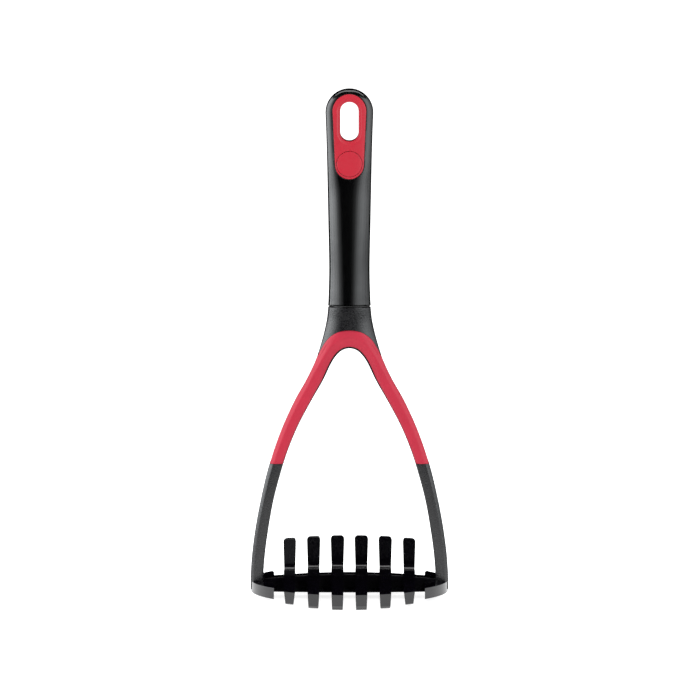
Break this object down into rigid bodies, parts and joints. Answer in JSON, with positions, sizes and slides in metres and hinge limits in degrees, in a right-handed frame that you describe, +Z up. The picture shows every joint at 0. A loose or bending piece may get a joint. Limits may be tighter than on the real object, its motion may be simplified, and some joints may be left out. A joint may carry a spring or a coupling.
{
  "type": "potato masher",
  "caption": "Hand masher with a tapered handle, a hanging slot, a wishbone frame in a soft sleeve, and an oval head of parallel tines on a crossbar.",
  "frame": {"origin": "on the surface the masher stands on, under the middle of the head", "axes": "+Z up along the handle, +X to the right across the head, +Y to the rear, where the tines turn up"},
  "size_m": [0.103, 0.08, 0.265],
  "materials": {
    "handle_gloss_black": "high gloss black",
    "insert_red": "satin red",
    "frame_matt_black": "fine textured matt black",
    "sleeve_soft_red": "soft-touch matt red"
  },
  "bodies": {
    "root": {"handle_shell": "handle_gloss_black", "insert_front": "insert_red", "insert_rear": "insert_red", "insert_badge": "insert_red", "neck": "frame_matt_black", "arm_left": "frame_matt_black", "arm_right": "frame_matt_black", "soft_sleeve": "sleeve_soft_red", "foot_left": "frame_matt_black", "foot_right": "frame_matt_black", "crossbar": "frame_matt_black", "tine_1": "frame_matt_black", "tine_2": "frame_matt_black", "tine_3": "frame_matt_black", "tine_4": "frame_matt_black", "tine_5": "frame_matt_black", "tine_6": "frame_matt_black"}
  },
  "joints": []
}
